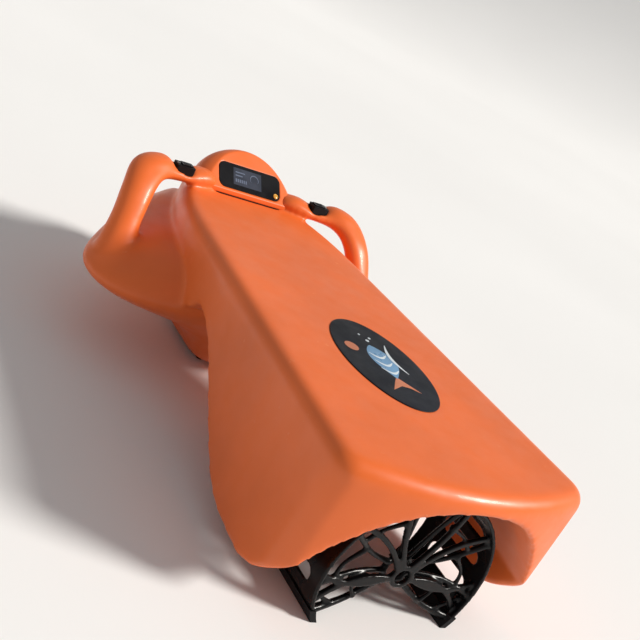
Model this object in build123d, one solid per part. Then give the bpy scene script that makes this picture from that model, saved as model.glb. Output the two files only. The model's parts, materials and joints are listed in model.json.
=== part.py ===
from build123d import *
import os
from math import cos, pi, radians, sin, sqrt

# Underwater scooter. Millimetres, +X to starboard, +Y to the bow, +Z up.
# The origin is on the ground, under the middle of the scooter.

# ---------------------------------------------------------------- driving sizes
DECK = 290.0            # deck above the ground
STERN = -518.0          # line between the two stern corners
STERN_HALF = 245.0      # half the width of the stern
STERN_BULGE = 53.0      # how far the stern edge bows out behind that line
TAPER = 0.088           # loss of half width per millimetre towards the bow
SHOULDER = 640.0        # from the stern to where the deck starts to round in
HULL_LENGTH = 1000.0    # from the stern to the front of the upper hull
WALL = 6.0              # moulded wall of the upper hull
LINER = 5.0             # wall of the tunnel liner
DECK_EDGE_R = 26.0      # rounding of the deck edge
STERN_CORNER_R = 42.0   # rounding of the stern corners, seen from above
SKIRT_DROP = 260.0      # depth over which the sides flare out
SKIRT_FLARE = 9.0
STERN_RAKE = 14.0       # forward lean of the stern's legs
FIT_GAP = 0.3           # gap between curved neighbours

TUNNEL_CROWN = 32.0     # tunnel roof below the deck
TUNNEL_CURVE = 0.0019   # fall of the roof: TUNNEL_CURVE * x ** 2 + TUNNEL_ROUND * x ** 4
TUNNEL_ROUND = 2.4e-8
SKIRT = 22.0            # thickness of a side skirt with its liner
TUNNEL_END = 530.0      # from the stern to where the tunnel roof meets the hull floor

AXIS_Z = DECK - 207.0   # height of the propeller axis
DUCT_R = 66.0           # outer radius of the duct
DUCT_WALL = 5.0
DUCT_AFT = STERN + 185.0
DUCT_FORE = STERN + 280.0
POD_R = 42.0            # motor pod
POD_WALL = 4.0
POD_AFT = STERN + 261.0
POD_FORE = STERN + 435.0
NOSE_CONE = 60.0        # length of the pod's nose cone
SHAFT_R = 6.0
RUN_GAP = 0.05          # radial clearance of running fits

GUARD_R = 155.0         # outer radius of the guard's band
GUARD_WALL = 6.0
GUARD_AFT = STERN + 12.0
GUARD_DEPTH = 165.0     # fore and aft depth of the band
GUARD_BAR = 9.0         # width of a guard bar
FOOT_H = 8.0            # height of a guard foot

BOW_HALF = 324.0        # half span across the wing tips
KEEL_DROP = 282.0       # keel below the deck
NOSE_DIP = 16.0         # hollow between the bow's shoulders
HULL_FLOOR = 125.0      # floor of the upper hull below the deck, forward part

POD_SEAM = STERN + 857.0    # seam between deck and console
PANEL_TILT = 40.0           # display panel above the horizontal
PANEL_MID = (0.0, STERN + 882.0, DECK + 32.0)
PANEL_SIZE = (142.0, 54.0)
SCREEN_SIZE = (66.0, 37.0)
SCREEN_AT = (-6.0, 2.0)       # middle of the screen on the panel

KEY_X = 158.0               # thumb keys on the handle bars
KEY_Y = STERN + 857.0
KEY_BLOCK = (38.0, 24.0)
KEY_TRAVEL = 2.5
BUTTON_TRAVEL = 1.5

HATCH = (100.0, 150.0)      # battery cover, across and along
HATCH_MID_Y = STERN + 785.0

BADGE = (83.0, 131.0)       # half axes of the oval deck badge
BADGE_Y = STERN + 289.0


# ---------------------------------------------------------------- helpers
def section_plane(y):
    """Plane across the scooter at y; sketches on it use (X, Z)."""
    return Plane(origin=(0, y, 0), x_dir=(1, 0, 0), z_dir=(0, -1, 0))


def side_plane(x):
    """Plane along the scooter at x; sketches on it use (Y, Z)."""
    return Plane(origin=(x, 0, 0), x_dir=(0, 1, 0), z_dir=(1, 0, 0))


def rod(r, y0, y1, x=0.0, z=AXIS_Z):
    """Round bar along Y."""
    return extrude(section_plane(y1) * Pos(x, z) * Circle(r), amount=y1 - y0)


def tube(r_out, r_in, y0, y1, x=0.0, z=AXIS_Z):
    return rod(r_out, y0, y1, x, z) - rod(r_in, y0 - 1, y1 + 1, x, z)


def post(r, x, y, z0, z1):
    """Round bar along Z."""
    return Pos(x, y, (z0 + z1) / 2) * Cylinder(r, z1 - z0)


def block(x0, x1, y0, y1, z0, z1):
    return Pos((x0 + x1) / 2, (y0 + y1) / 2, (z0 + z1) / 2) * Box(x1 - x0, y1 - y0, z1 - z0)


def mirrored(shape):
    return mirror(shape, about=Plane.YZ)


def both(shape):
    """The shape and its mirror image, as one group of solids."""
    return Compound(children=[shape, mirrored(shape)])


def group(shapes):
    return Compound(children=list(shapes))


def half_width(along):
    """Half width of the deck at a distance ahead of the stern."""
    return STERN_HALF - TAPER * along


# ---------------------------------------------------------------- hull forms
def hull_outline(inset, flare=0.0, rake=0.0):
    """Deck outline seen from above, moved in by inset; flare widens its stern."""
    corner = (half_width(inset) - inset + flare, STERN + inset + rake)
    shoulder = (half_width(SHOULDER) - inset + flare / 2, STERN + SHOULDER)
    cheek = (166.0 - inset, STERN + 800.0)
    brow = (108.0 - inset, STERN + 932.0)
    tip = (0.0, STERN + HULL_LENGTH - inset)
    stern = ThreePointArc((-corner[0], corner[1]), (0, corner[1] - STERN_BULGE), corner)
    side = Line(corner, shoulder)
    bow = Spline(shoulder, cheek, brow, tip, tangents=[(-TAPER, 1), (-1, 0)])
    face = make_face([stern, side, bow, mirrored(side), mirrored(bow)])
    corners = face.vertices().sort_by(Axis.Y)[:2]
    return fillet(corners, STERN_CORNER_R - inset)


def skirt_cutter(rise):
    """Everything under the hull's lower edge, raised by rise."""
    edge = [(-75, -95), (20, -205), (70, -239), (150, -250), (230, -242), (310, -206),
            (400, -150), (470, -109), (545, -92), (640, -HULL_FLOOR)]
    points = [(STERN + y, DECK + z + rise) for y, z in edge]
    first, last = points[0], points[-1]
    curve = Spline(*points, tangents=[(0.8, -1), (1, 0)])
    far = STERN + 1100
    frame = Polyline(last, (far, last[1]), (far, -60), (first[0], -60), first)
    return extrude(side_plane(-400) * make_face([curve, frame]), amount=800)


def hull_block(inset):
    """Solid form of the upper hull, moved in by inset on every face."""
    top = DECK - inset
    low = Pos(0, 0, top - SKIRT_DROP) * hull_outline(inset, SKIRT_FLARE, STERN_RAKE)
    solid = loft([low, Pos(0, 0, top) * hull_outline(inset)], ruled=True)
    solid = fillet(solid.edges().group_by(Axis.Z)[-1], DECK_EDGE_R - inset)
    return solid - skirt_cutter(inset)


def roof_fall(x):
    """Fall of the tunnel roof at a distance from the middle."""
    return TUNNEL_CURVE * x ** 2 + TUNNEL_ROUND * x ** 4


def tunnel_section(along, crown, half, grow):
    """Roof curve and upright walls of the tunnel at one station."""
    knee = half + grow
    top = DECK - crown + grow
    steps = [-knee + 2 * knee * i / 8 for i in range(9)]
    roof = Spline(*[(x, top - roof_fall(x)) for x in steps])
    side = top - roof_fall(knee)
    low = Polyline((knee, side), (knee, -60), (-knee, -60), (-knee, side))
    return section_plane(STERN + along) * make_face([roof, low])


def tunnel_form(grow):
    """Solid form of the water tunnel, grown by grow."""
    roof = [(-90, TUNNEL_CROWN), (430, TUNNEL_CROWN), (480, 46), (TUNNEL_END, 72)]
    sections = [tunnel_section(y, drop, half_width(y) - SKIRT, grow) for y, drop in roof]
    return loft(sections, ruled=True)


def bow_section(along, half, top, edge, bottom, keel):
    """Closed section of the bow: shoulders at top, wing tip at edge, keel at bottom."""
    rise = edge - top
    fall = bottom - edge
    right = [(half * 0.5, top), (half * 0.8, top + 0.4 * rise), (half, edge),
             (half * 0.84, edge + 0.2 * fall), (keel * 1.25, edge + 0.74 * fall),
             (keel * 0.8, edge + 0.975 * fall)]
    points = [(0, top + NOSE_DIP)] + right + [(0, bottom)] + [(-x, z) for x, z in reversed(right)]
    wire = Spline(*[(x, DECK - z) for x, z in points], periodic=True)
    return section_plane(STERN + along) * make_face(wire)


def bow_form():
    """Outer form of the bow: nose, side wings and keel in one moulding."""
    stations = [
        (572, 150, 80, 122, 158, 46),
        (605, 216, 72, 140, 204, 54),
        (650, 286, 66, 152, 248, 60),
        (695, 316, 64, 155, 274, 62),
        (748, BOW_HALF, 62, 152, KEEL_DROP, 62),
        (800, 303, 60, 143, KEEL_DROP, 62),
        (855, 262, 56, 130, 279, 62),
        (920, 212, 52, 120, 262, 58),
        (985, 156, 60, 122, 232, 50),
        (1050, 88, 92, 134, 198, 36),
        (1087, 32, 128, 152, 174, 16),
    ]
    return loft([bow_section(*row) for row in stations])


HULL = hull_block(0)
HULL_INNER = hull_block(WALL)
TUNNEL = tunnel_form(0)
TUNNEL_OUTER = tunnel_form(LINER)
BOW = bow_form()


# ---------------------------------------------------------------- hull parts
def upper_hull():
    """Moulded deck, outer sides and skirts."""
    badge_seat = Pos(0, BADGE_Y, DECK) * extrude(Ellipse(BADGE[0] + 0.5, BADGE[1] + 0.5), amount=-1.5)
    return HULL - HULL_INNER - TUNNEL_OUTER - badge_seat


def tunnel_liner():
    """Inner skin of the tunnel, from skirt to skirt."""
    return (TUNNEL_OUTER - TUNNEL) & HULL


def buoyancy_foam():
    """Closed-cell foam that fills the space between deck and tunnel."""
    form = hull_block(WALL + FIT_GAP) - tunnel_form(LINER + FIT_GAP)
    return form - block(-300, 300, STERN + 560, STERN + 1100, 0, 400)


def deck_badge():
    """Oval badge let into the deck."""
    return Pos(0, BADGE_Y, DECK - 1.5) * extrude(Ellipse(*BADGE), amount=1.5)


def hatch_prism(grow, z_top):
    """Upright prism with the battery cover's rounded outline."""
    plate = RectangleRounded(HATCH[0] + 2 * grow, HATCH[1] + 2 * grow, 22 + grow)
    return Pos(0, HATCH_MID_Y, -40) * extrude(plate, amount=z_top + 40)


COVER_TOP = DECK - KEEL_DROP + 14.0
GASKET = 1.5
BAY_HALF = 43.0
BAY_LONG = 62.0
BAY_TOP = DECK - HULL_FLOOR - 7.0
HATCH_SCREWS = [(sx * 45.3, HATCH_MID_Y + dy) for sx in (-1, 1) for dy in (-56, 0, 56)]
HATCH_SCREWS += [(0, HATCH_MID_Y + dy) for dy in (-68.5, 68.5)]
BATTERY_LEADS = [(-18, STERN + 750), (18, STERN + 750)]


def bow_moulding():
    """Nose, wings and keel, with the battery bay open underneath."""
    bay = block(-BAY_HALF, BAY_HALF, HATCH_MID_Y - BAY_LONG, HATCH_MID_Y + BAY_LONG, -40, BAY_TOP)
    body = BOW - HULL - hatch_prism(0.5, COVER_TOP) - bay
    for x, y in HATCH_SCREWS:
        body -= post(2, x, y, 0, COVER_TOP + 12)
    for x, y in BATTERY_LEADS:
        body -= post(4.5, x, y, BAY_TOP - 5, DECK)
    return body


def battery_cover():
    cover = (BOW & hatch_prism(0, COVER_TOP - GASKET)) - keel_skids()
    for x, y in HATCH_SCREWS:
        cover -= post(2.2, x, y, -5, 40)
        cover -= post(5, x, y, -5, COVER_TOP - 5)
    return cover


def battery_cover_gasket():
    lip = block(-BAY_HALF, BAY_HALF, HATCH_MID_Y - BAY_LONG, HATCH_MID_Y + BAY_LONG, -40, 60)
    ring = hatch_prism(0, COVER_TOP) - hatch_prism(1, COVER_TOP - GASKET) - lip
    for x, y in HATCH_SCREWS:
        ring -= post(2.2, x, y, -5, 40)
    return ring


def battery_cover_screws():
    def screw(x, y):
        head = post(4.5, x, y, COVER_TOP - 8, COVER_TOP - 5)
        drive = Pos(x, y, COVER_TOP - 8) * extrude(RegularPolygon(2, 6), amount=1.6)
        return head - drive + post(2, x, y, COVER_TOP - 5, COVER_TOP + 12)
    return group(screw(x, y) for x, y in HATCH_SCREWS)


def keel_skids():
    """Two rubber strips that the scooter stands on, let into the battery cover."""
    return both(Pos(24, HATCH_MID_Y, 0) * extrude(SlotOverall(124, 12, rotation=90), amount=13))


def battery_pack():
    pack = block(-40, 40, HATCH_MID_Y - 58, HATCH_MID_Y + 58, COVER_TOP + 4, BAY_TOP - 6)
    pack = fillet(pack.edges().filter_by(Axis.Y), 8)
    ribs = [block(-41.5, 41.5, y - 4, y + 4, COVER_TOP + 3, BAY_TOP - 30)
            for y in (HATCH_MID_Y - 36, HATCH_MID_Y, HATCH_MID_Y + 36)]
    return pack + ribs


CONTROLLER = (STERN + 648.0, STERN + 784.0, DECK - HULL_FLOOR + WALL + 0.5, DECK - 62.0)


def controller_box():
    """Motor controller with cooling fins on top."""
    y0, y1, z0, z1 = CONTROLLER
    case = fillet(block(-62, 62, y0, y1, z0, z1).edges().filter_by(Axis.Z), 8)
    fins = [block(x - 1.5, x + 1.5, y0 + 8, y1 - 8, z1, z1 + 14) for x in range(-50, 51, 10)]
    return case + fins


def battery_leads():
    return group(post(4, x, y, BAY_TOP - 6, CONTROLLER[2]) for x, y in BATTERY_LEADS)


LEAD_Z = DECK - 17.5
PYLON_Y = STERN + 350.0


def motor_leads(r=4.0):
    """Motor cable, from the pylon through the foam to the controller."""
    turn = STERN + 605.0
    low = DECK - 84.0
    path = FilletPolyline((0, PYLON_Y, DECK - 78), (0, PYLON_Y, LEAD_Z), (0, turn, LEAD_Z),
                          (0, turn, low), (0, CONTROLLER[0], low), radius=11)
    return sweep(Pos(0, PYLON_Y, DECK - 78) * Circle(r), path=path)


def finished_upper_hull():
    hull = upper_hull() - charge_bore()
    for x, y in BATTERY_LEADS:
        hull -= post(4.5, x, y, 100, CONTROLLER[2] + 2)
    return hull


def finished_liner():
    liner = tunnel_liner() - post(4.6, 0, PYLON_Y, DECK - 60, DECK)
    for x, y in PYLON_BOLTS + GUARD_SCREWS:
        liner -= post(3, x, y, 120, roof_z(x) + LINER + 6)
    return liner


def finished_foam():
    foam = buoyancy_foam() - motor_leads(5.0)
    for x, y in PYLON_BOLTS + GUARD_SCREWS:
        foam -= post(4, x, y, 120, roof_z(x) + LINER + 8)
    return foam


# ---------------------------------------------------------------- drive
PYLON_BOLTS = [(sx * 24, PYLON_Y + dy) for sx in (-1, 1) for dy in (-52, 52)]
FLANGE = 6.0


def roof_z(x):
    """Height of the tunnel roof at x, aft part."""
    return DECK - TUNNEL_CROWN - roof_fall(x)


def motor_pylon():
    """Streamlined strut that carries the motor pod from the tunnel roof."""
    strut = Pos(0, PYLON_Y, AXIS_Z) * extrude(Ellipse(13, 58), amount=190)
    plate = Pos(0, PYLON_Y, AXIS_Z) * extrude(RectangleRounded(66, 132, 20), amount=190)
    plate -= Pos(0, 0, -FLANGE) * TUNNEL
    shape = ((strut + plate) & TUNNEL) - rod(POD_R, POD_AFT - 5, POD_FORE + 5)
    shape -= post(4.6, 0, PYLON_Y, AXIS_Z + POD_R + 6, DECK)
    for x, y in PYLON_BOLTS:
        seat = roof_z(x) - FLANGE - 2.5
        shape = shape - post(3, x, y, 120, DECK) - post(7, x, y, seat - 30, seat)
    return shape


def pylon_bolts():
    def bolt(x, y):
        seat = roof_z(x) - FLANGE - 2.5
        head = Pos(x, y, seat - 5) * extrude(RegularPolygon(6, 6), amount=5)
        return head + post(3, x, y, seat, roof_z(x) + LINER + 6)
    return group(bolt(x, y) for x, y in PYLON_BOLTS)


BEARING = (13.0, 9.0)       # outer radius, width
SEAL = (11.0, 6.0)
REAR_WALL = 16.0
CONE_BOSS = (STERN + 417.0, POD_FORE)


def motor_pod():
    """Sealed tube around the motor, with the rear bearing in its end wall."""
    wall_end = POD_AFT + REAR_WALL
    pod = tube(POD_R, POD_R - POD_WALL, POD_AFT, POD_FORE)
    pod += rod(POD_R - POD_WALL, POD_AFT, wall_end)
    pod -= rod(BEARING[0], wall_end - BEARING[1], wall_end + 1)
    pod -= rod(SEAL[0], POD_AFT - 1, POD_AFT + SEAL[1])
    pod -= rod(SHAFT_R + 1, POD_AFT - 1, wall_end + 1)
    for x, z in DUCT_SCREWS:
        pod -= rod(1.8, POD_AFT - 1, POD_AFT + 12, x, z)
    return pod


def pod_nose_cone():
    """Front cap of the pod, which carries the front bearing."""
    outline = [EllipticalCenterArc((POD_FORE, AXIS_Z), NOSE_CONE, POD_R, start_angle=0,
                                   arc_size=90),
               Polyline((POD_FORE, AXIS_Z + POD_R), (POD_FORE, AXIS_Z),
                        (POD_FORE + NOSE_CONE, AXIS_Z))]
    axis = Axis((0, 0, AXIS_Z), (0, 1, 0))
    cone = revolve(side_plane(0) * make_face(outline), axis=axis)
    cone += rod(POD_R - POD_WALL, CONE_BOSS[0] - 4, POD_FORE)
    cone -= rod(BEARING[0], CONE_BOSS[0] - 5, CONE_BOSS[0] - 4 + BEARING[1])
    return cone - rod(SHAFT_R + 1, CONE_BOSS[0] - 5, CONE_BOSS[0] + 10)


def shaft_bearings():
    rear = POD_AFT + REAR_WALL - BEARING[1]
    front = CONE_BOSS[0] - 4
    bore = SHAFT_R + RUN_GAP
    return group([tube(BEARING[0], bore, rear, rear + BEARING[1]),
                  tube(BEARING[0], bore, front, front + BEARING[1])])


def shaft_seal():
    return tube(SEAL[0], SHAFT_R + RUN_GAP, POD_AFT, POD_AFT + SEAL[1])


SHAFT_AFT = STERN + 199.0
SHAFT_FORE = CONE_BOSS[0] + 4.0
ROTOR = (23.0, STERN + 293.0, STERN + 397.0)
HUB = (17.0, STERN + 215.0, STERN + 253.0)
BLADES = 4
BLADE_TIP = DUCT_R - DUCT_WALL - 1.2


def drive_shaft():
    return rod(SHAFT_R, SHAFT_AFT, SHAFT_FORE)


def motor_rotor():
    return tube(ROTOR[0], SHAFT_R, ROTOR[1], ROTOR[2])


def motor_stator():
    """Wound stack around the rotor, with teeth inside."""
    stack = tube(POD_R - POD_WALL, ROTOR[0] + 1, ROTOR[1], ROTOR[2])
    slot = section_plane(ROTOR[2] + 1) * Pos(30, AXIS_Z) * SlotOverall(9, 4.5)
    cut = extrude(slot, amount=ROTOR[2] - ROTOR[1] + 2)
    for k in range(12):
        stack -= cut.rotate(Axis((0, 0, AXIS_Z), (0, 1, 0)), 30 * k)
    return stack


def propeller():
    """Bladed rotor: twisted blades on a hub."""
    hub = tube(HUB[0], SHAFT_R, HUB[1], HUB[2])
    mid = (HUB[1] + HUB[2]) / 2
    sections = []
    for r, chord, thick, pitch in ((HUB[0] - 3, 30, 5, 62), (36, 36, 4, 42), (66, 34, 2.6, 27)):
        a = radians(pitch)
        face = Plane(origin=(r, mid, AXIS_Z), x_dir=(0, sin(a), cos(a)), z_dir=(1, 0, 0))
        sections.append(face * Ellipse(chord / 2, thick / 2))
    blade = loft(sections) & tube(BLADE_TIP, SHAFT_R + 2, HUB[1] - 10, HUB[2] + 10)
    spin = Axis((0, 0, AXIS_Z), (0, 1, 0))
    for k in range(BLADES):
        hub += blade.rotate(spin, 360 / BLADES * k)
    return hub


def propeller_nut():
    """Domed nut that holds the propeller on the shaft."""
    face = [EllipticalCenterArc((HUB[1], AXIS_Z), 26, 15, start_angle=90, arc_size=90),
            Polyline((HUB[1] - 26, AXIS_Z), (HUB[1], AXIS_Z), (HUB[1], AXIS_Z + 15))]
    nut = revolve(side_plane(0) * make_face(face), axis=Axis((0, 0, AXIS_Z), (0, 1, 0)))
    flats = rod(30, HUB[1] - 8, HUB[1] + 1)
    hexagon = section_plane(HUB[1] + 1) * Pos(0, AXIS_Z) * RegularPolygon(13.5, 6)
    flats -= extrude(hexagon, amount=9)
    return nut - flats - rod(SHAFT_R, SHAFT_AFT, HUB[1] + 1)


DUCT_SCREWS = [(31 * cos(a), AXIS_Z + 31 * sin(a)) for a in (pi / 4 + k * pi / 2 for k in range(4))]
COLLAR = (46.0, POD_AFT - 4.0, POD_AFT + 18.0)
VANES = 5


def nozzle_duct():
    """Duct around the propeller, with guide vanes and a collar on the pod."""
    duct = tube(DUCT_R, DUCT_R - DUCT_WALL, DUCT_AFT, DUCT_FORE)
    collar = rod(COLLAR[0], COLLAR[1], COLLAR[2]) - rod(POD_R, POD_AFT, DUCT_FORE + 5)
    collar -= rod(20, COLLAR[1] - 1, POD_AFT + 1)
    spin = Axis((0, 0, AXIS_Z), (0, 1, 0))
    vane = block(COLLAR[0] - 1, DUCT_R - 2, COLLAR[1] + 1, COLLAR[2] - 1, AXIS_Z - 1.5, AXIS_Z + 1.5)
    for k in range(VANES):
        duct += vane.rotate(spin, 360 / VANES * k + 90)
    duct += collar
    for x, z in DUCT_SCREWS:
        duct -= rod(1.8, COLLAR[1] - 1, POD_AFT + 1, x, z)
    return duct


def duct_screws():
    def screw(x, z):
        head = rod(3.4, COLLAR[1] - 2.4, COLLAR[1], x, z)
        head -= extrude(section_plane(COLLAR[1] - 1.2) * Pos(x, z) * RegularPolygon(1.6, 6), amount=2)
        return head + rod(1.8, COLLAR[1], POD_AFT + 12, x, z)
    return group(screw(x, z) for x, z in DUCT_SCREWS)


# ---------------------------------------------------------------- guard
GUARD_HUB = (21.0, 13.0)        # outer and inner radius of the hub ring
GUARD_FACE = GUARD_AFT + 18     # front of the barred face
GUARD_LUG_X = 70.0
GUARD_SCREWS = [(sx * GUARD_LUG_X, GUARD_AFT + 126) for sx in (-1, 1)]
SPOKES = [(-22.5, 40), (-2, -34), (34, 26), (68, -14)]     # rim angle and bow of each bar


def guard_band(r_out, r_in, y0, y1):
    """Band of the guard, open at the bottom."""
    return tube(r_out, r_in, y0, y1) - block(-200, 200, y0 - 5, y1 + 5, -120, FOOT_H)


def polar(r, angle):
    a = radians(angle)
    return r * cos(a), AXIS_Z + r * sin(a)


def spoke(angle, bow):
    """Curved bar from the hub ring to the band."""
    reach = GUARD_R - GUARD_BAR / 2 - 1
    a, b = polar(GUARD_HUB[0] - 4, angle), polar(reach, angle)
    mid = polar(reach * 0.55, angle + bow * 0.35)
    return SlotArc(ThreePointArc(a, mid, b), GUARD_BAR)


def guard():
    """Rear cage: band, hub ring and curved bars, with intake slots in its sides."""
    face = Pos(0, AXIS_Z) * Circle(GUARD_HUB[0])
    for angle, bow in SPOKES:
        face += spoke(angle, bow)
        face += spoke(180 - angle, -bow)
    face -= Pos(0, AXIS_Z) * Circle(GUARD_HUB[1])
    cage = extrude(section_plane(GUARD_FACE) * face, amount=8)
    cage += guard_band(GUARD_R, GUARD_R - GUARD_WALL, GUARD_AFT, GUARD_AFT + GUARD_DEPTH)
    cage -= block(-200, 200, GUARD_AFT - 5, GUARD_AFT + 200, -60, FOOT_H)
    spin = Axis((0, 0, AXIS_Z), (0, 1, 0))
    slot = block(130, 170, GUARD_AFT + 28, GUARD_AFT + 128, AXIS_Z - 13, AXIS_Z + 13)
    slot = fillet(slot.edges().filter_by(Axis.X), 12)
    for angle in (-9, 11, 31):
        cut = slot.rotate(spin, -angle)
        cage = cage - cut - mirrored(cut)
    lug = block(GUARD_LUG_X - 15, GUARD_LUG_X + 15, GUARD_AFT + 108, GUARD_AFT + 144, 150, 280)
    lug = (lug & TUNNEL) - rod(GUARD_R - GUARD_WALL, GUARD_AFT, GUARD_AFT + 200)
    cage += lug
    cage += mirrored(lug)
    for x, y in GUARD_SCREWS:
        cage -= post(3, x, y, 150, 280)
    return cage


def guard_screws():
    def screw(x, y):
        seat = AXIS_Z + sqrt((GUARD_R - GUARD_WALL) ** 2 - (GUARD_LUG_X + 8) ** 2)
        return post(6, x, y, seat - 9, seat - 3) + post(3, x, y, seat - 3, roof_z(x) + LINER + 6)
    return group(screw(x, y) for x, y in GUARD_SCREWS)


def guard_feet():
    """Rubber shoes on the two ends of the guard's band."""
    y0, y1 = GUARD_AFT - 2, GUARD_AFT + GUARD_DEPTH + 2
    shoe = tube(GUARD_R + 2, GUARD_R - GUARD_WALL - 2, y0, y1) & block(0, 200, y0, y1, 0, 20)
    return both(shoe) - guard()


# ---------------------------------------------------------------- console
PANEL = Plane(origin=PANEL_MID, x_dir=(1, 0, 0),
              z_dir=(0, -sin(radians(PANEL_TILT)), cos(radians(PANEL_TILT))))
BEZEL = 4.0             # thickness of the bezel
BEZEL_PROUD = 1.0
POD_SHELL = 4.0
SEAM = 1.5              # thickness of the console gasket
BUTTON_AT = (60.0, -17.0)
BUTTON_R = 5.5


def on_panel(sketch, low, high):
    """Sketch on the display panel, extruded from low to high above its face."""
    return PANEL * Pos(0, 0, low) * extrude(sketch, amount=high - low)


def pod_form(grow):
    """Dome of the console, cut flat along the display panel."""
    stations = [(0, 112, 30), (28, 114, 52), (50, 110, 66), (72, 99, 72), (94, 80, 64),
                (114, 52, 44), (128, 24, 20)]
    sections = []
    for along, half, high in stations:
        a, b = half + grow, high + grow
        arc = EllipticalCenterArc((0, DECK), a, b, start_angle=0, arc_size=180)
        face = make_face([arc, Line((-a, DECK), (a, DECK))])
        sections.append(section_plane(POD_SEAM + along + grow * (along / 67 - 1)) * face)
    cut = PANEL * Pos(0, 0, 100 + grow) * Box(500, 400, 200)
    return loft(sections) - cut


POD_OUT = pod_form(0)


def console_pod():
    """Domed cover in front of the deck, with the panel recess and a hollow inside."""
    pod = POD_OUT - pod_form(-POD_SHELL) - block(-200, 200, STERN, 500, DECK - 5, DECK + SEAM)
    pod += on_panel(RectangleRounded(134, 50, 12), -7.5, -1) & POD_OUT
    pod -= on_panel(RectangleRounded(*PANEL_SIZE, 14), BEZEL_PROUD - BEZEL, 5)
    pod -= on_panel(Pos(-8, 2) * Rectangle(100, 38), -20, 0)
    return pod - on_panel(Pos(*BUTTON_AT) * Circle(BUTTON_R + 1), -20, 0)


def console_gasket():
    """Soft seal between the console and the deck, its edge showing as a dark line."""
    slab = block(-200, 200, STERN, 500, DECK, DECK + SEAM)
    return (POD_OUT & slab) - pod_form(-POD_SHELL - 6)


def display_bezel():
    """Rounded black panel around the screen and the power button."""
    plate = on_panel(RectangleRounded(*PANEL_SIZE, 14), BEZEL_PROUD - BEZEL, BEZEL_PROUD)
    plate -= on_panel(Pos(*SCREEN_AT) * Rectangle(*SCREEN_SIZE), BEZEL_PROUD - 1.6, 5)
    return plate - on_panel(Pos(*BUTTON_AT) * Circle(BUTTON_R + 0.2), -20, 5)


def display_screen():
    return on_panel(Pos(*SCREEN_AT) * Rectangle(*SCREEN_SIZE), BEZEL_PROUD - 1.6, BEZEL_PROUD - 0.4)


def display_board():
    """Circuit board behind the bezel, with its driver chips."""
    board = on_panel(Pos(-8, 2) * Rectangle(96, 34), -9.1, -7.5)
    return board + on_panel(Pos(-20, 0) * Rectangle(16, 16), -7.5, -5.5) \
        + on_panel(Pos(14, 4) * Rectangle(10, 10), -7.5, -6)


def power_switch():
    """Touch switch under the power button, on its own small carrier."""
    carrier = on_panel(Pos(*BUTTON_AT) * Rectangle(12, 12), -9.1, -7.6)
    return carrier + on_panel(Pos(*BUTTON_AT) * Rectangle(6, 6), -7.6, -6)


def power_button():
    return on_panel(Pos(*BUTTON_AT) * Circle(BUTTON_R), -4.2, BEZEL_PROUD + 1.8)


# ---------------------------------------------------------------- handles
KEY_SEAT = DECK + 12.0
KEY_TOP = DECK + 34.0
KEY_CAP = (24.0, 15.0)


def handle_form():
    """Starboard hand loop: out from the console, round, and down into the wing."""
    stations = [(86, 886, 13, 27, 13), (150, 865, 14, 27, 14), (196, 855, 15, 27, 16),
                (229, 830, 6, 25, 18), (248, 799, -22, 23, 19), (262, 773, -66, 23, 20),
                (276, 755, -110, 26, 21), (284, 747, -150, 28, 20)]
    points = [Vector(x, STERN + y, DECK + z) for x, y, z, _, _ in stations]
    sections = []
    for i, row in enumerate(stations):
        ahead = points[min(i + 1, len(points) - 1)] - points[max(i - 1, 0)]
        across = Vector(0, 0, 1).cross(ahead).normalized()
        face = Plane(origin=points[i], x_dir=across, z_dir=ahead.normalized())
        sections.append(face * Ellipse(row[3], row[4]))
    return loft(sections)


HANDLE = handle_form()


def key_envelope(grow, low, high):
    plate = RectangleRounded(KEY_BLOCK[0] + grow, KEY_BLOCK[1] + grow, 3)
    return Pos(KEY_X, KEY_Y, low) * extrude(plate, amount=high - low)


def handle(side):
    """Hand loop, cut to sit against console, hull and wing."""
    loop, seat = HANDLE, key_envelope(0, KEY_SEAT, KEY_TOP + 20)
    if side < 0:
        loop, seat = mirrored(loop), mirrored(seat)
    form = loop - pod_form(1.2) - HULL - BOW - seat
    return form.solids().sort_by(SortBy.VOLUME)[-1]


def key_housing(side):
    """Black block in the handle bar that holds the thumb key."""
    shell = key_envelope(0, KEY_SEAT, KEY_TOP)
    well = block(KEY_X - 15.5, KEY_X + 9.5, KEY_Y - 8, KEY_Y + 8, KEY_SEAT + 3, KEY_TOP + 5)
    shell -= well
    shell -= post(1.6, KEY_X + 14.2, KEY_Y, KEY_SEAT - 1, KEY_TOP + 1)
    return shell if side > 0 else mirrored(shell)


def thumb_key(side):
    """Thumb key that slides down in its housing."""
    x = KEY_X - 3
    cap = Pos(x, KEY_Y, KEY_TOP - 7) * extrude(RectangleRounded(*KEY_CAP, 2), amount=9.5)
    ridge = [block(x + d - 0.8, x + d + 0.8, KEY_Y - 5, KEY_Y + 5, KEY_TOP + 2.5, KEY_TOP + 3.2)
             for d in (-6, -2, 2, 6)]
    cap += ridge
    return cap if side > 0 else mirrored(cap)


def key_spring(side):
    """Coil spring under the thumb key."""
    low, high = KEY_SEAT + 3, KEY_TOP - 7
    coil = Helix(pitch=(high - low - 1) / 4, height=high - low - 1, radius=3.4)
    start = coil @ 0
    wire = Plane(origin=start, z_dir=coil % 0) * Circle(0.45)
    spring = Pos(KEY_X - 3, KEY_Y, low + 0.5) * sweep(wire, path=coil)
    return spring if side > 0 else mirrored(spring)


def key_housing_screws():
    top = KEY_TOP + 1
    head = post(3.2, KEY_X + 14.2, KEY_Y, KEY_TOP, top)
    head -= Pos(KEY_X + 14.2, KEY_Y, top - 0.6) * extrude(RegularPolygon(1.5, 6), amount=2)
    return both(head + post(1.6, KEY_X + 14.2, KEY_Y, KEY_SEAT, KEY_TOP))


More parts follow.
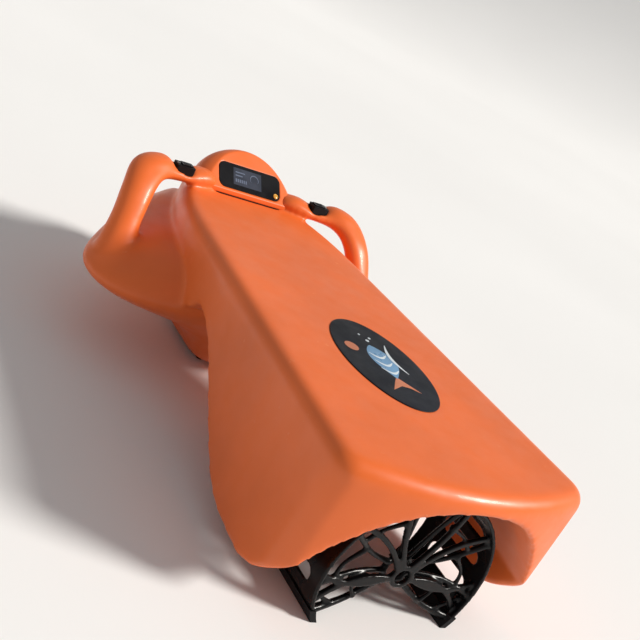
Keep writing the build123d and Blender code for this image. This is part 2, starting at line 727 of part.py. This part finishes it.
# ---------------------------------------------------------------- charging port
PORT_Z = DECK - 48.0
PORT_FACE = STERN + HULL_LENGTH
PORT_R = 12.0
CAP_R = 16.0
CAP_PIN_Z = PORT_Z + CAP_R + 3.5
CAP_PIN_Y = PORT_FACE + 4.5


def charge_bore():
    return rod(PORT_R, PORT_FACE - 40, PORT_FACE + 5, 0, PORT_Z)


def charge_socket():
    """Charging socket in the nose of the upper hull, with two contacts."""
    cup = rod(PORT_R, PORT_FACE - 32, PORT_FACE, 0, PORT_Z)
    cup -= rod(PORT_R - 3, PORT_FACE - 26, PORT_FACE + 1, 0, PORT_Z)
    for x in (-4, 4):
        cup += rod(1.5, PORT_FACE - 27, PORT_FACE - 12, x, PORT_Z)
    low, high = PORT_Z + PORT_R - 2.5, CAP_PIN_Z + 2.5
    bracket = block(-11, 11, PORT_FACE - 1.5, PORT_FACE + 1, low, high)
    for x in (-9, 9):
        bracket += block(x - 2, x + 2, PORT_FACE, CAP_PIN_Y + 2.5, low, high)
    bracket -= HULL - charge_bore()
    return cup + bracket - cross_rod(1.3, -12, 12)


def cross_rod(r, x0, x1):
    """Round bar along X on the cap's hinge line."""
    return extrude(side_plane(x0) * Pos(CAP_PIN_Y, CAP_PIN_Z) * Circle(r), amount=x1 - x0)


def charge_cap():
    """Rubber cap over the charging socket, on a hinge above it."""
    cap = rod(CAP_R, PORT_FACE + 2, PORT_FACE + 6, 0, PORT_Z)
    cap -= block(-30, 30, PORT_FACE, PORT_FACE + 9, PORT_Z + PORT_R - 4, PORT_Z + 40)
    cap += rod(PORT_R - 4.5, PORT_FACE - 2, PORT_FACE + 3, 0, PORT_Z)
    cap += block(-6.5, 6.5, PORT_FACE + 2.5, PORT_FACE + 6, PORT_Z, CAP_PIN_Z)
    cap += cross_rod(2.4, -6.5, 6.5)
    cap += block(-5, 5, PORT_FACE + 3, PORT_FACE + 8, PORT_Z - CAP_R - 3, PORT_Z - CAP_R + 6)
    return cap - cross_rod(1.3 + RUN_GAP, -12, 12)


def cap_hinge_pin():
    return cross_rod(1.3, -11, 11)


# ---------------------------------------------------------------- output
NODES = {
    "upper_hull": finished_upper_hull,
    "tunnel_liner": finished_liner,
    "buoyancy_foam": finished_foam,
    "deck_badge": deck_badge,
    "bow_moulding": bow_moulding,
    "battery_cover": battery_cover,
    "battery_cover_gasket": battery_cover_gasket,
    "battery_cover_screws": battery_cover_screws,
    "keel_skids": keel_skids,
    "battery_pack": battery_pack,
    "battery_leads": battery_leads,
    "controller_box": controller_box,
    "motor_leads": motor_leads,
    "motor_pylon": motor_pylon,
    "pylon_bolts": pylon_bolts,
    "motor_pod": motor_pod,
    "pod_nose_cone": pod_nose_cone,
    "shaft_bearings": shaft_bearings,
    "shaft_seal": shaft_seal,
    "motor_stator": motor_stator,
    "motor_rotor": motor_rotor,
    "drive_shaft": drive_shaft,
    "propeller": propeller,
    "propeller_nut": propeller_nut,
    "nozzle_duct": nozzle_duct,
    "duct_screws": duct_screws,
    "guard": guard,
    "guard_screws": guard_screws,
    "guard_feet": guard_feet,
    "console_pod": console_pod,
    "console_gasket": console_gasket,
    "display_bezel": display_bezel,
    "display_screen": display_screen,
    "display_board": display_board,
    "power_switch": power_switch,
    "power_button": power_button,
    "charge_socket": charge_socket,
    "charge_cap": charge_cap,
    "cap_hinge_pin": cap_hinge_pin,
    "key_housing_screws": key_housing_screws,
}
SIDED = {"handle": handle, "key_housing": key_housing, "thumb_key": thumb_key,
         "key_spring": key_spring}

os.makedirs("parts", exist_ok=True)
for name, make in NODES.items():
    export_step(make(), f"parts/{name}.step")
for name, make in SIDED.items():
    export_step(make(1), f"parts/right_{name}.step")
    export_step(make(-1), f"parts/left_{name}.step")
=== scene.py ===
import bpy
import json
from math import cos, pi, radians, sin, sqrt
from mathutils import Matrix, Vector


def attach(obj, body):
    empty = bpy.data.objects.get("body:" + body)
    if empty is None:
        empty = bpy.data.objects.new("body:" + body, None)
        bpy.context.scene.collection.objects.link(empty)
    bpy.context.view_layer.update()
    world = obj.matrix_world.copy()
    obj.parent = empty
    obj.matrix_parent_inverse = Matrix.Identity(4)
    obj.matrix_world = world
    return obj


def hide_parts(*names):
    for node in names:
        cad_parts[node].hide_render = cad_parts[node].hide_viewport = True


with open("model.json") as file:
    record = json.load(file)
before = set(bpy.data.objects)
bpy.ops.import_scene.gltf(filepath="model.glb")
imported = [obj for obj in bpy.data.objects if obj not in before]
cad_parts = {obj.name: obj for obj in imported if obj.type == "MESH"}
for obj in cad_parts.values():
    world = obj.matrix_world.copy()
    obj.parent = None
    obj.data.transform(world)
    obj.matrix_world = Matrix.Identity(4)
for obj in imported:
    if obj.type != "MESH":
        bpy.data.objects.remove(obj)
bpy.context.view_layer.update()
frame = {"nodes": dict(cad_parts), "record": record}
nodes = frame["nodes"]
scene = bpy.context.scene
STERN = -0.518              # y of the hull's stern face
DECK = 0.290                # height of the deck
AXIS_Z = 0.083              # height of the propeller axis


# ---------------------------------------------------------------- materials
class Graph:
    """Small helper that builds one node material."""

    def __init__(self, name):
        self.mat = bpy.data.materials.new(name)
        self.mat.use_nodes = True
        self.tree = self.mat.node_tree
        self.tree.nodes.clear()
        self.out = self.add("ShaderNodeOutputMaterial")
        self.bsdf = self.add("ShaderNodeBsdfPrincipled")
        self.link(self.bsdf.outputs[0], self.out.inputs[0])
        self.coord = self.add("ShaderNodeTexCoord").outputs["Object"]

    def add(self, kind, **values):
        node = self.tree.nodes.new(kind)
        for key, value in values.items():
            setattr(node, key, value)
        return node

    def link(self, a, b):
        self.tree.links.new(a, b)

    def noise(self, scale, detail=4.0, rough=0.55, stretch=None):
        node = self.add("ShaderNodeTexNoise")
        node.inputs["Scale"].default_value = scale
        node.inputs["Detail"].default_value = detail
        node.inputs["Roughness"].default_value = rough
        if stretch:
            move = self.add("ShaderNodeMapping")
            move.inputs["Scale"].default_value = stretch
            self.link(self.coord, move.inputs["Vector"])
            self.link(move.outputs[0], node.inputs["Vector"])
        else:
            self.link(self.coord, node.inputs["Vector"])
        return node.outputs["Fac"]

    def ramp(self, source, low, high, at=(0.35, 0.65)):
        node = self.add("ShaderNodeValToRGB")
        a, b = node.color_ramp.elements
        a.position, b.position = at
        a.color = (*low, 1) if hasattr(low, "__len__") else (low, low, low, 1)
        b.color = (*high, 1) if hasattr(high, "__len__") else (high, high, high, 1)
        self.link(source, node.inputs[0])
        return node.outputs[0]

    def mix(self, factor, a, b):
        node = self.add("ShaderNodeMix", data_type="RGBA")
        self.link(factor, node.inputs[0])
        for value, socket in ((a, node.inputs[6]), (b, node.inputs[7])):
            if hasattr(value, "is_output"):
                self.link(value, socket)
            else:
                socket.default_value = (*value, 1)
        return node.outputs[2]

    def bump(self, source, strength, distance=0.001):
        node = self.add("ShaderNodeBump")
        node.inputs["Strength"].default_value = strength
        node.inputs["Distance"].default_value = distance
        self.link(source, node.inputs["Height"])
        self.link(node.outputs[0], self.bsdf.inputs["Normal"])

    def set(self, **values):
        for key, value in values.items():
            self.bsdf.inputs[key.replace("_", " ")].default_value = value


def plastic(name, color, rough=0.42, spread=0.12, grain=0.12, wear=None, coat=0.0):
    """Moulded plastic: soft colour drift, fine grain, faint scuffs."""
    g = Graph(name)
    dark = [c * (1 - spread) for c in color]
    light = [min(1, c * (1 + spread)) for c in color]
    tone = g.ramp(g.noise(5.0, 3), dark, light)
    if wear:
        scuff = g.ramp(g.noise(46.0, 9, 0.72), 0.0, 1.0, (0.64, 0.74))
        tone = g.mix(scuff, tone, wear)
    g.link(tone, g.bsdf.inputs["Base Color"])
    g.link(g.ramp(g.noise(22.0, 6), rough - 0.06, rough + 0.09), g.bsdf.inputs["Roughness"])
    g.bump(g.noise(900.0, 2), grain, 0.0004)
    g.set(Coat_Weight=coat, Coat_Roughness=0.12,
          Specular_IOR_Level=0.16 if max(color) < 0.03 else 0.4)
    return g.mat


def metal(name, color, rough=0.3, brushed=(1, 1, 1), spread=0.15):
    g = Graph(name)
    tone = g.ramp(g.noise(30.0, 6, 0.6, brushed), [c * (1 - spread) for c in color], color)
    g.link(tone, g.bsdf.inputs["Base Color"])
    g.link(g.ramp(g.noise(60.0, 5, 0.6, brushed), rough - 0.08, rough + 0.12),
           g.bsdf.inputs["Roughness"])
    g.bump(g.noise(400.0, 3, 0.5, brushed), 0.15, 0.0003)
    g.set(Metallic=1.0)
    return g.mat


def glass_screen(name):
    """Dim display under glass."""
    g = Graph(name)
    tone = g.ramp(g.noise(40.0, 2), (0.028, 0.034, 0.052), (0.042, 0.05, 0.075))
    g.link(tone, g.bsdf.inputs["Base Color"])
    g.link(g.ramp(g.noise(90.0, 4), 0.12, 0.22), g.bsdf.inputs["Roughness"])
    g.bump(g.noise(300.0, 2), 0.04, 0.0002)
    g.set(Coat_Weight=0.6, Coat_Roughness=0.08)
    return g.mat


ORANGE = (0.82, 0.155, 0.028)
M = {
    "hull_orange": plastic("hull_orange", ORANGE, 0.40, 0.06, 0.10, (0.86, 0.27, 0.11), 0.10),
    "cover_orange": plastic("cover_orange", (0.75, 0.15, 0.035), 0.45, 0.08, 0.15, (0.80, 0.3, 0.15)),
    # tunnel_orange: a darker copy of the hull orange, painted shade for the tunnel's inside wall; its pale
    # scuffs are real wear
    "tunnel_orange": plastic("tunnel_orange", (0.62, 0.11, 0.03), 0.5, 0.12, 0.15, (0.5, 0.12, 0.05)),
    "foam": plastic("foam", (0.82, 0.79, 0.68), 0.9, 0.08, 0.9),
    "badge_navy": plastic("badge_navy", (0.006, 0.008, 0.014), 0.42, 0.3, 0.03, (0.012, 0.014, 0.02)),
    "soft_rubber": plastic("soft_rubber", (0.012, 0.012, 0.013), 0.66, 0.3, 0.5),
    "steel": metal("steel", (0.62, 0.62, 0.6), 0.28, (1, 8, 1)),
    "battery_case": plastic("battery_case", (0.05, 0.055, 0.065), 0.55, 0.2, 0.3),
    "cable_jacket": plastic("cable_jacket", (0.01, 0.01, 0.01), 0.5, 0.3, 0.3),
    "anodised": metal("anodised", (0.13, 0.135, 0.14), 0.38, (1, 1, 1), 0.25),
    "stator_iron": metal("stator_iron", (0.35, 0.2, 0.12), 0.5, (1, 20, 1), 0.4),
    "rotor_steel": metal("rotor_steel", (0.45, 0.45, 0.46), 0.3, (1, 20, 1)),
    "propeller_metal": metal("propeller_metal", (0.33, 0.34, 0.36), 0.34),
    "duct_black": plastic("duct_black", (0.007, 0.007, 0.008), 0.34, 0.3, 0.1, (0.02, 0.02, 0.02), 0.2),
    "guard_black": plastic("guard_black", (0.003, 0.003, 0.0035), 0.3, 0.3, 0.08,
                           (0.008, 0.007, 0.006), 0.12),
    "bezel_black": plastic("bezel_black", (0.0035, 0.0035, 0.005), 0.3, 0.3, 0.03,
                           (0.008, 0.008, 0.01), 0.1),
    "screen_glass": glass_screen("screen_glass"),
    "circuit_board": plastic("circuit_board", (0.02, 0.12, 0.05), 0.4, 0.25, 0.3, (0.4, 0.3, 0.1)),
    "button_amber": plastic("button_amber", (0.72, 0.36, 0.05), 0.3, 0.15, 0.05, (0.8, 0.55, 0.2), 0.3),
    "socket_black": plastic("socket_black", (0.009, 0.009, 0.01), 0.5, 0.3, 0.3),
    "key_black": plastic("key_black", (0.006, 0.006, 0.007), 0.25, 0.3, 0.05, (0.02, 0.02, 0.02), 0.3),
}
slot_of = {s["node"]: s["material_slot"] for s in frame["record"]["subparts"]}
for name, obj in nodes.items():
    obj.data.materials.clear()
    obj.data.materials.append(M[slot_of[name]])


# ---------------------------------------------------------------- shape helpers
def new_object(name, verts, faces, slot):
    mesh = bpy.data.meshes.new(name)
    mesh.from_pydata([tuple(v) for v in verts], [], faces)
    mesh.validate()
    obj = bpy.data.objects.new(name, mesh)
    scene.collection.objects.link(obj)
    obj.data.materials.append(M[slot])
    obj["part_slot"] = slot
    return obj


def joined(name, sources, slot):
    """One mesh from several closed ones."""
    verts, faces = [], []
    for mesh in sources:
        base = len(verts)
        verts += [v.co.copy() for v in mesh.vertices]
        faces += [[base + i for i in p.vertices] for p in mesh.polygons]
    return new_object(name, verts, faces, slot)


def softened(obj, voxel, passes):
    """Melts the pieces of a mesh into one skin and rounds its edges."""
    remesh = obj.modifiers.new("skin", "REMESH")
    remesh.mode = "VOXEL"
    remesh.voxel_size = voxel
    remesh.use_smooth_shade = True
    smooth = obj.modifiers.new("soft", "SMOOTH")
    smooth.factor = 0.5
    smooth.iterations = passes
    graph = bpy.context.evaluated_depsgraph_get()
    mesh = bpy.data.meshes.new_from_object(obj.evaluated_get(graph))
    mesh.materials.clear()
    mesh.materials.append(M[obj["part_slot"]])
    obj.modifiers.clear()
    obj.data = mesh
    for poly in mesh.polygons:
        poly.use_smooth = True
    return obj


def skin(rings, closed_ends=True):
    """Vertices and faces of a tube through rings of equal point count."""
    n = len(rings[0])
    verts = [p for ring in rings for p in ring]
    faces = []
    for i in range(len(rings) - 1):
        for j in range(n):
            k = (j + 1) % n
            faces.append([i * n + j, i * n + k, (i + 1) * n + k, (i + 1) * n + j])
    if closed_ends:
        faces.append(list(range(n))[::-1])
        faces.append([(len(rings) - 1) * n + j for j in range(n)])
    return verts, faces


def smooth_path(points, steps=8):
    """Catmull-Rom curve through 5-number rows (x, y, z, a, b)."""
    rows = [points[0]] + list(points) + [points[-1]]
    out = []
    for i in range(1, len(rows) - 2):
        p0, p1, p2, p3 = rows[i - 1:i + 3]
        for s in range(steps):
            t = s / steps
            out.append([0.5 * (2 * b + (c - a) * t + (2 * a - 5 * b + 4 * c - d) * t * t
                               + (3 * b - a - 3 * c + d) * t ** 3)
                        for a, b, c, d in zip(p0, p1, p2, p3)])
    out.append(list(points[-1]))
    return out


def tube(points, steps=8, count=20, up=(0, 0, 1)):
    """Swept oval: a across, b upward."""
    path = smooth_path(points, steps)
    rings = []
    for i, row in enumerate(path):
        here = Vector(row[:3])
        ahead = Vector(path[min(i + 1, len(path) - 1)][:3]) - Vector(path[max(i - 1, 0)][:3])
        ahead.normalize()
        across = Vector(up).cross(ahead).normalized()
        lift = ahead.cross(across)
        rings.append([here + across * row[3] * cos(2 * pi * k / count)
                      + lift * row[4] * sin(2 * pi * k / count) for k in range(count)])
    return skin(rings)


def mirrored(verts, faces):
    return [Vector((-v[0], v[1], v[2])) for v in verts], [f[::-1] for f in faces]


def mesh_of(verts, faces):
    mesh = bpy.data.meshes.new("tmp")
    mesh.from_pydata([tuple(v) for v in verts], [], faces)
    return mesh


def both_sides(verts, faces):
    return [mesh_of(verts, faces), mesh_of(*mirrored(verts, faces))]


def finish_piece(obj, *replaced):
    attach(obj, "hull")
    if replaced:
        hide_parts(*replaced)
    return obj


# ---------------------------------------------------------------- hull, wings and loops
# The moulded shells flow into one another, so they are melted into one skin first and then
# parted again along their seams.
root = [(0.262, 0.255, 0.224, 0.024, 0.021), (0.270, 0.242, 0.190, 0.030, 0.027),
        (0.274, 0.236, 0.160, 0.038, 0.036), (0.272, 0.232, 0.135, 0.040, 0.040)]
neck = [(0.084, STERN + 0.888, DECK + 0.010, 0.028, 0.018),
        (0.112, STERN + 0.878, DECK + 0.012, 0.027, 0.018),
        (0.133, STERN + 0.869, DECK + 0.013, 0.025, 0.014)]
swell = [(0.188, STERN + 0.859, DECK + 0.020, 0.026, 0.015),
         (0.206, STERN + 0.858, DECK + 0.021, 0.030, 0.019),
         (0.236, STERN + 0.842, DECK + 0.012, 0.030, 0.021),
         (0.256, STERN + 0.806, DECK - 0.020, 0.027, 0.023),
         (0.267, STERN + 0.777, DECK - 0.066, 0.027, 0.024),
         (0.276, STERN + 0.757, DECK - 0.110, 0.031, 0.027),
         (0.280, STERN + 0.748, DECK - 0.140, 0.036, 0.028)]
shells = [nodes[n].data for n in ("upper_hull", "buoyancy_foam", "tunnel_liner", "bow_moulding",
                                  "left_handle", "right_handle")]
whole = joined("whole_skin", shells + both_sides(*tube(root)) + both_sides(*tube(swell))
               + both_sides(*tube(neck)), "hull_orange")
softened(whole, 0.004, 16)


def shell_of(x, y, z):
    """Which moulding a point of the skin belongs to."""
    along, depth = y - STERN, DECK - z
    beside = abs(x) - (0.172 - 0.45 * max(0, along - 0.80))
    if along > 0.70 and ((abs(x) > 0.150 and depth < 0.060 and beside > 0.012)
                         or (depth < -0.004 and abs(x) > 0.08)):
        return "right_loop" if x > 0 else "left_loop"
    if along > 0.552 and (depth > 0.066 or beside > 0.020):
        return "bow"
    return "hull"


def parted(source, name, label):
    """The faces of source that belong to one moulding, as a piece of its own."""
    mesh = source.data
    verts, faces, index = [], [], {}
    for poly in mesh.polygons:
        if shell_of(*poly.center) != label:
            continue
        face = []
        for i in poly.vertices:
            if i not in index:
                index[i] = len(verts)
                verts.append(mesh.vertices[i].co.copy())
            face.append(index[i])
        faces.append(face)
    obj = new_object(name, verts, faces, "hull_orange")
    obj.data.polygons.foreach_set("use_smooth", [True] * len(faces))
    normals = [None] * len(verts)
    for i, k in index.items():
        normals[k] = mesh.vertices[i].normal
    obj.data.normals_split_custom_set_from_vertices(normals)
    return obj


finish_piece(parted(whole, "hull_skin", "hull"), "upper_hull", "tunnel_liner")
finish_piece(parted(whole, "bow_skin", "bow"), "bow_moulding")
finish_piece(parted(whole, "left_loop_skin", "left_loop"), "left_handle")
finish_piece(parted(whole, "right_loop_skin", "right_loop"), "right_handle")
bpy.data.objects.remove(whole)

# ---------------------------------------------------------------- console
console = joined("console_skin", [nodes["console_pod"].data], "hull_orange")
finish_piece(softened(console, 0.0016, 6), "console_pod")

# ---------------------------------------------------------------- guard
def strut(a, b, bend, thick):
    """Round bar from a to b, bowed by bend."""
    a, b, bend = Vector(a), Vector(b), Vector(bend)
    mid = (a + b) / 2 + bend
    return tube([(*a, thick * 1.25, thick * 1.25), (*mid, thick, thick),
                 (*b, thick * 1.4, thick * 1.4)], 6, 12, (0, 1, 0.1))


def rim(radius, degrees_up, y):
    """Point of the guard's face at an angle above the horizontal, starboard side."""
    a = radians(degrees_up)
    return (radius * cos(a), y, AXIS_Z + radius * sin(a))


HUB_Y = STERN + 0.044       # the hub sits deeper than the rim
RIM_Y = STERN + 0.024
CROSS_Y = STERN + 0.029     # cross bars between the main ones
BAND_INNER = 0.1365         # inside this radius the bars are the ones made here
webs = []
for hub_angle, rim_angle, bow, thick in ((-48, -28, -0.010, 0.0054), (-12, -9, 0.010, 0.0044),
                                         (28, 30, -0.009, 0.0044), (66, 72, 0.010, 0.0042)):
    webs += both_sides(*strut(rim(0.022, hub_angle, HUB_Y), rim(0.151, rim_angle, RIM_Y),
                              (0, 0, bow), thick))
for inner, outer, bow in (((0.082, -12), (0.080, -36), 0.004), ((0.120, -8), (0.098, 26), 0.012),
                          ((0.115, 31), (0.105, 68), 0.010), ((0.148, -14), (0.118, -31), 0.004)):
    webs += both_sides(*strut(rim(*inner, CROSS_Y), rim(*outer, CROSS_Y), (bow, 0, 0), 0.0034))
ring = [[Vector((0, HUB_Y, AXIS_Z)) + Vector((cos(a), 0, sin(a))) * (0.0225 + 0.0050 * cos(b))
         + Vector((0, 1, 0)) * 0.0060 * sin(b) for b in [2 * pi * k / 12 for k in range(12)]]
        for a in [2 * pi * i / 40 for i in range(41)]]
ring_verts, ring_faces = skin(ring, False)
plug_verts, plug_faces = skin([[Vector(rim(BAND_INNER, 360 * k / 64, y)) for k in range(64)]
                               for y in (STERN, STERN + 0.045)])
cutter = new_object("guard_cutter", plug_verts, plug_faces, "guard_black")
band = joined("guard_band", [nodes["guard"].data], "guard_black")
cut = band.modifiers.new("cut", "BOOLEAN")
cut.operation = "DIFFERENCE"
cut.object = cutter
graph = bpy.context.evaluated_depsgraph_get()
band_mesh = bpy.data.meshes.new_from_object(band.evaluated_get(graph))
guard = joined("guard_skin", [band_mesh, mesh_of(ring_verts, ring_faces)] + webs, "guard_black")
bpy.data.objects.remove(cutter)
bpy.data.objects.remove(band)
finish_piece(softened(guard, 0.002, 7), "guard")

# ---------------------------------------------------------------- lathe and flat shapes
def basis(normal, across):
    n = Vector(normal).normalized()
    x = Vector(across).normalized()
    return x, n.cross(x), n


def lathe(name, profile, origin, axes, slot, count=48, squeeze=1.0):
    """Turned piece: profile rows are (radius, height); squeeze stretches it along its second axis."""
    x, y, n = axes
    rings = [[Vector(origin) + x * r * cos(2 * pi * k / count)
              + y * r * squeeze * sin(2 * pi * k / count) + n * h for k in range(count)]
             for r, h in profile]
    obj = new_object(name, *skin(rings), slot)
    for poly in obj.data.polygons:
        poly.use_smooth = len(poly.vertices) == 4
    return obj


def plaque(name, outlines, origin, axes, low, high, slot, paint=None):
    """Thin raised shapes on a face; each outline is a list of (u, v) points."""
    x, y, n = axes
    verts, faces = [], []
    for outline in outlines:
        count, base = len(outline), len(verts)
        for h in (low, high):
            verts += [Vector(origin) + x * u + y * v + n * h for u, v in outline]
        faces.append([base + count + i for i in range(count)])
        faces += [[base + i, base + (i + 1) % count, base + count + (i + 1) % count, base + count + i]
                  for i in range(count)]
    obj = new_object(name, verts, faces, slot)
    if paint:
        obj.data.materials.clear()
        obj.data.materials.append(paint)
    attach(obj, "hull")
    return obj


def circle(u, v, r, count=28):
    return [(u + r * cos(2 * pi * k / count), v + r * sin(2 * pi * k / count)) for k in range(count)]


def ribbon(curve, width):
    """Closed outline of a tapering stroke along a function of t in 0..1."""
    steps = [i / 20 for i in range(21)]
    left, right_edge = [], []
    for t in steps:
        u, v = curve(t)
        a, b = curve(min(1, t + 0.01))
        c, d = curve(max(0, t - 0.01))
        du, dv = a - c, b - d
        size = sqrt(du * du + dv * dv) or 1
        half = width * sin(pi * (0.06 + 0.88 * t)) / 2
        left.append((u - dv / size * half, v + du / size * half))
        right_edge.append((u + dv / size * half, v - du / size * half))
    return left + right_edge[::-1]


# ---------------------------------------------------------------- badge
art_blue = plastic("art_blue", (0.11, 0.27, 0.47), 0.32, 0.25, 0.05, (0.3, 0.5, 0.66), 0.4)
art_white = plastic("art_white", (0.66, 0.73, 0.78), 0.34, 0.1, 0.05, (0.4, 0.55, 0.7), 0.4)
art_orange = plastic("art_orange", (0.55, 0.16, 0.06), 0.34, 0.2, 0.05, (0.7, 0.34, 0.16), 0.4)
BADGE = (0, STERN + 0.289, DECK)
flat = basis((0, 0, 1), (1, 0, 0))
badge = lathe("badge_plate", [(0.080, -0.0012), (0.0828, -0.0006), (0.083, 0.0004), (0.0825, 0.0009),
                              (0.0815, 0.0011)], BADGE, flat, "badge_navy", 96, 131 / 83)
finish_piece(badge, "deck_badge")
body = [(0.030 * sin(pi * t ** 0.8), 0.052 - 0.098 * t) for t in [i / 24 for i in range(25)]]
body += [(-0.022 * sin(pi * t ** 0.8), 0.052 - 0.098 * t) for t in [i / 24 for i in range(23, 0, -1)]]
tail = [(0.0, -0.040), (0.030, -0.078), (0.012, -0.068), (-0.004, -0.066), (-0.030, -0.082), (-0.012, -0.056)]
plaque("badge_fish", [body], BADGE, flat, 0.0010, 0.00135, "badge_navy", art_blue)
plaque("badge_tail", [tail, circle(-0.046, 0.036, 0.013)], BADGE, flat, 0.0010, 0.00130, "badge_navy",
       art_orange)
bands = [ribbon(lambda t, k=k: (-0.017 + 0.036 * t, 0.026 - 0.022 * k - 0.012 * sin(pi * t)), 0.0055)
         for k in range(3)]
bands += [ribbon(lambda t: (0.038 - 0.012 * sin(pi * t), 0.062 - 0.085 * t), 0.007)]
bands += [circle(0.004, 0.066, 0.0035), circle(0.014, 0.076, 0.0028), circle(-0.004, 0.083, 0.0022)]
plaque("badge_stripes", bands, BADGE, flat, 0.0013, 0.0016, "badge_navy", art_white)

# ---------------------------------------------------------------- display panel
tilt = radians(40)
panel = basis((0, -sin(tilt), cos(tilt)), (1, 0, 0))
PANEL = (0, STERN + 0.882, DECK + 0.032)
glow = plastic("display_marks", (0.10, 0.13, 0.20), 0.4, 0.2, 0.02)
marks = [[(-0.034 + 0.0046 * i, -0.010), (-0.031 + 0.0046 * i, -0.010),
          (-0.031 + 0.0046 * i, -0.003), (-0.034 + 0.0046 * i, -0.003)] for i in range(6)]
marks += [ribbon(lambda t: (0.010 + 0.0095 * cos(-0.6 + 4.4 * t),
                            0.004 + 0.0095 * sin(-0.6 + 4.4 * t)), 0.0022)]
marks += [[(-0.034, 0.010), (-0.012, 0.010), (-0.012, 0.0125), (-0.034, 0.0125)],
          [(-0.034, 0.003), (-0.018, 0.003), (-0.018, 0.0055), (-0.034, 0.0055)]]
plaque("display_marks", marks, PANEL, panel, 0.0006, 0.00075, "screen_glass", glow)
BUTTON = Vector(PANEL) + panel[0] * 0.060 - panel[1] * 0.017
button = lathe("button_cap", [(0.0053, -0.0042), (0.0055, -0.0038), (0.0055, 0.0021), (0.0050, 0.0027),
                              (0.0040, 0.0028), (0.0038, 0.0025), (0.0034, 0.0025), (0.0032, 0.0028),
                              (0.0016, 0.0030)], BUTTON, panel, "button_amber", 40)
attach(button, "power_button")
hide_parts("power_button")

# ---------------------------------------------------------------- floor, light, camera
def area(name, place, aim, size, power, color=(1, 1, 1)):
    data = bpy.data.lights.new(name, "AREA")
    data.size = size
    data.energy = power
    data.color = color
    lamp = bpy.data.objects.new(name, data)
    lamp.location = place
    lamp.rotation_euler = (Vector(aim) - Vector(place)).to_track_quat("-Z", "Y").to_euler()
    scene.collection.objects.link(lamp)


away = Vector((sin(radians(38.65)), cos(radians(38.65)), 0))
across = Vector((away.y, -away.x, 0))
sweep_line = [(-14.0, 0.0), (6.0, 0.0)]
sweep_line += [(6.0 + 4 * sin(radians(a)), 4 - 4 * cos(radians(a))) for a in range(6, 91, 6)]
sweep_line.append((10.0, 14.0))
rows = [[away * d + across * w + Vector((0, 0, h)) for d, h in sweep_line] for w in (-16, 16)]
count = len(sweep_line)
floor_mesh = bpy.data.meshes.new("floor")
floor_mesh.from_pydata([tuple(p) for row in rows for p in row], [],
                       [(i, i + 1, count + i + 1, count + i) for i in range(count - 1)])
floor_mesh.polygons.foreach_set("use_smooth", [True] * (count - 1))
floor = bpy.data.objects.new("floor", floor_mesh)
scene.collection.objects.link(floor)
pale = Graph("floor_pale")
pale.link(pale.ramp(pale.noise(0.6, 2), 0.86, 0.89), pale.bsdf.inputs["Base Color"])
pale.set(Roughness=0.9)
floor_mesh.materials.append(pale.mat)

world = bpy.data.worlds.new("studio")
scene.world = world
world.use_nodes = True
world.node_tree.nodes["Background"].inputs[0].default_value = (1.0, 1.0, 1.0, 1)
world.node_tree.nodes["Background"].inputs[1].default_value = 0.32
sun = bpy.data.lights.new("sun", "SUN")
sun.energy = 3.8
sun.angle = radians(14)
sun.color = (1.0, 0.96, 0.90)
lamp = bpy.data.objects.new("sun", sun)
lamp.rotation_euler = Vector((-2.5, 1.7, -2.2)).to_track_quat("-Z", "Y").to_euler()
scene.collection.objects.link(lamp)
area("fill", (-2.4, -1.6, 1.5), (0, 0, 0.1), 2.2, 1.5, (0.92, 0.95, 1.0))
scene.view_settings.view_transform = "Standard"

data = bpy.data.cameras.new("camera")
camera = bpy.data.objects.new("camera", data)
scene.collection.objects.link(camera)
scene.camera = camera
data.sensor_width = 36.0
data.lens = 65.84
data.clip_start = 0.05
data.clip_end = 200.0
turn, drop, roll = radians(38.65), radians(19.64), radians(28.32)
look = Vector((sin(turn) * cos(drop), cos(turn) * cos(drop), -sin(drop)))
right = look.cross(Vector((0, 0, 1))).normalized()
lift = right.cross(look)
side = right * cos(roll) + lift * sin(roll)
top = side.cross(look)
camera.matrix_world = Matrix.Translation((-1.1851, -1.5157, 0.9262)) @ \
    Matrix((side, top, -look)).transposed().to_4x4()
